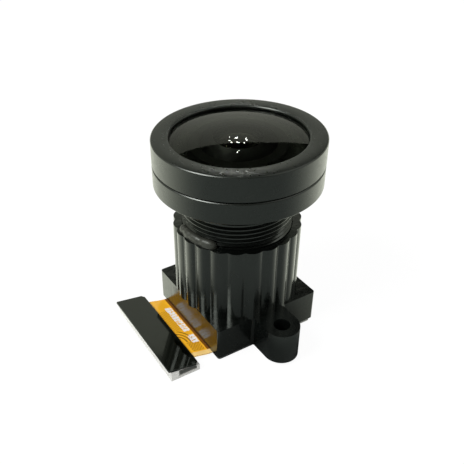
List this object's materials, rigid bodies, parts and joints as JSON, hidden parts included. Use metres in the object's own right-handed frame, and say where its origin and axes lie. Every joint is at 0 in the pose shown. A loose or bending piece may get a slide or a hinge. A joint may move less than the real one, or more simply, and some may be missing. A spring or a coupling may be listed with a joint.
{
  "type": "board camera module with a wide-angle lens",
  "caption": "Small board camera: wide-angle lens with a threaded barrel in a fluted black holder with two screw ears, on a short flex circuit that ends in a board connector.",
  "frame": {"origin": "on the lens axis, in the plane of the holder's underside, midway between the two screw holes", "axes": "+Z along the lens axis towards the scene that the camera sees; +Y along the line of the two screw holes; the flex circuit leaves towards -X"},
  "size_m": [0.0215, 0.022, 0.0235],
  "materials": {
    "holder_plastic": "moulded black plastic, semi-gloss",
    "black_anodised": "black anodised, satin",
    "blackened_metal": "matt black",
    "lens_glass": "polished and coated",
    "seal_rubber": "matt",
    "filter_glass": "polished",
    "clear_adhesive": "cured resin, glossy",
    "silicon": "polished",
    "solder": "bright",
    "capacitor_ceramic": "matt",
    "resistor_ceramic": "matt",
    "chip_plastic": "matt",
    "polyimide": "orange film, glossy, with copper tracks",
    "stiffener_steel": "rolled",
    "plate_black": "black, polished, finely scratched",
    "connector_plastic": "moulded, pale grey",
    "gold_contact": "gold plated",
    "tab_steel": "tinned"
  },
  "bodies": {
    "root": {"lens_holder": "holder_plastic", "lens_barrel": "black_anodised", "front_ring": "black_anodised", "front_seal": "seal_rubber", "front_element": "lens_glass", "inner_ring": "blackened_metal", "second_element": "lens_glass", "third_element": "lens_glass", "upper_spacer": "blackened_metal", "aperture_stop": "blackened_metal", "stop_spacer": "blackened_metal", "fourth_element": "lens_glass", "fifth_element": "lens_glass", "lower_spacer": "blackened_metal", "rear_element": "lens_glass", "rear_ring": "blackened_metal", "infrared_filter": "filter_glass", "filter_adhesive": "clear_adhesive", "sensor_cover": "filter_glass", "sensor_dam": "chip_plastic", "sensor_die": "silicon", "sensor_balls": "solder", "chip_capacitors": "capacitor_ceramic", "chip_resistors": "resistor_ceramic", "voltage_regulator": "chip_plastic", "holder_adhesive": "clear_adhesive", "flex_circuit": "polyimide", "base_stiffener": "stiffener_steel", "adhesive_bead": "clear_adhesive", "connector_plate": "plate_black", "connector_housing": "connector_plastic", "connector_contacts": "gold_contact", "connector_tabs": "tab_steel"}
  },
  "joints": []
}
